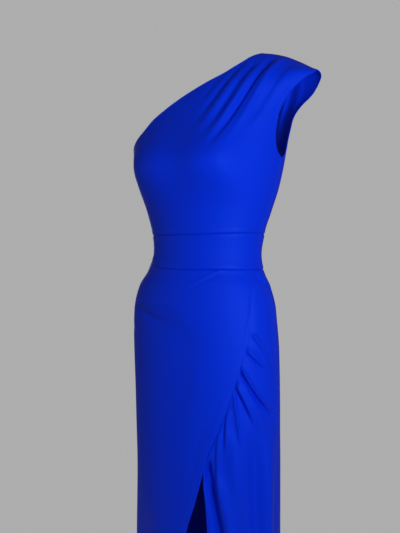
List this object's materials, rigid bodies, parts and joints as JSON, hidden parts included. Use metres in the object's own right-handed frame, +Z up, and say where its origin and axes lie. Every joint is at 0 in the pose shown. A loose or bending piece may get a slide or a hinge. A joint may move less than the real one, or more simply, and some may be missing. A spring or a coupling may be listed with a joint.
{
  "type": "one-shoulder dress",
  "caption": "Floor-length column dress worn on one shoulder, with a pleated shoulder, a fitted waistband and a tucked wrap skirt with a side slit.",
  "frame": {"origin": "the inner side of the cloth under the middle of the left shoulder seam, where the wearer's shoulder holds the dress up", "axes": "+Z up along the dress, -Y the way the wearer faces, +X to the wearer's left"},
  "size_m": [0.3989, 0.2573, 1.4519],
  "materials": {
    "royal_blue_crepe": "smooth matt-satin stretch crepe, royal blue"
  },
  "bodies": {
    "root": {"bodice_front": "royal_blue_crepe", "bodice_back": "royal_blue_crepe", "waistband_front": "royal_blue_crepe", "waistband_back": "royal_blue_crepe", "skirt_front_wrap": "royal_blue_crepe", "skirt_front_tucked": "royal_blue_crepe", "skirt_back": "royal_blue_crepe"}
  },
  "joints": []
}
